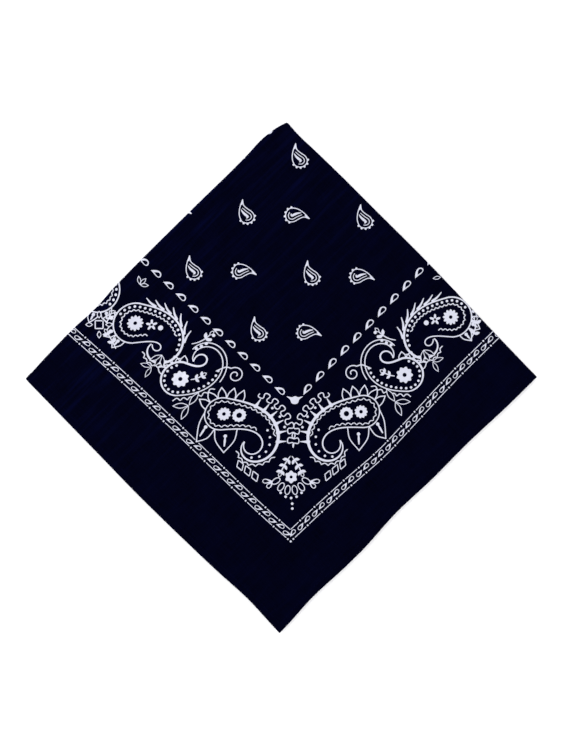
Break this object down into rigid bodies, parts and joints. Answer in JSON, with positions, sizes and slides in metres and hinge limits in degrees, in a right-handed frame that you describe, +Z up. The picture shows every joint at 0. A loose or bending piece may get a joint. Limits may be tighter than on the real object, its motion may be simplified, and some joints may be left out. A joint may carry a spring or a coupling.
{
  "type": "bandana",
  "caption": "Square cotton bandana with hemmed edges and a paisley border print, folded into a quarter and lying flat.",
  "frame": {"origin": "on the surface that the bandana lies on, under the middle of its bounding box", "axes": "+Z up, out of the printed face; +Y towards the corner where both folds meet, which is the middle of the cloth; +X to the right of that, seen from above"},
  "size_m": [0.389, 0.389, 0.0057],
  "materials": {
    "printed_cotton": "matt plain-weave cotton, dyed navy, with a pale discharge print",
    "folded_cotton": "the same cotton, seen at its folds and stacked hems",
    "hem_thread": "matt navy spun polyester sewing thread"
  },
  "bodies": {
    "root": {"top_layer": "printed_cotton", "hidden_layers": "folded_cotton"}
  },
  "joints": []
}
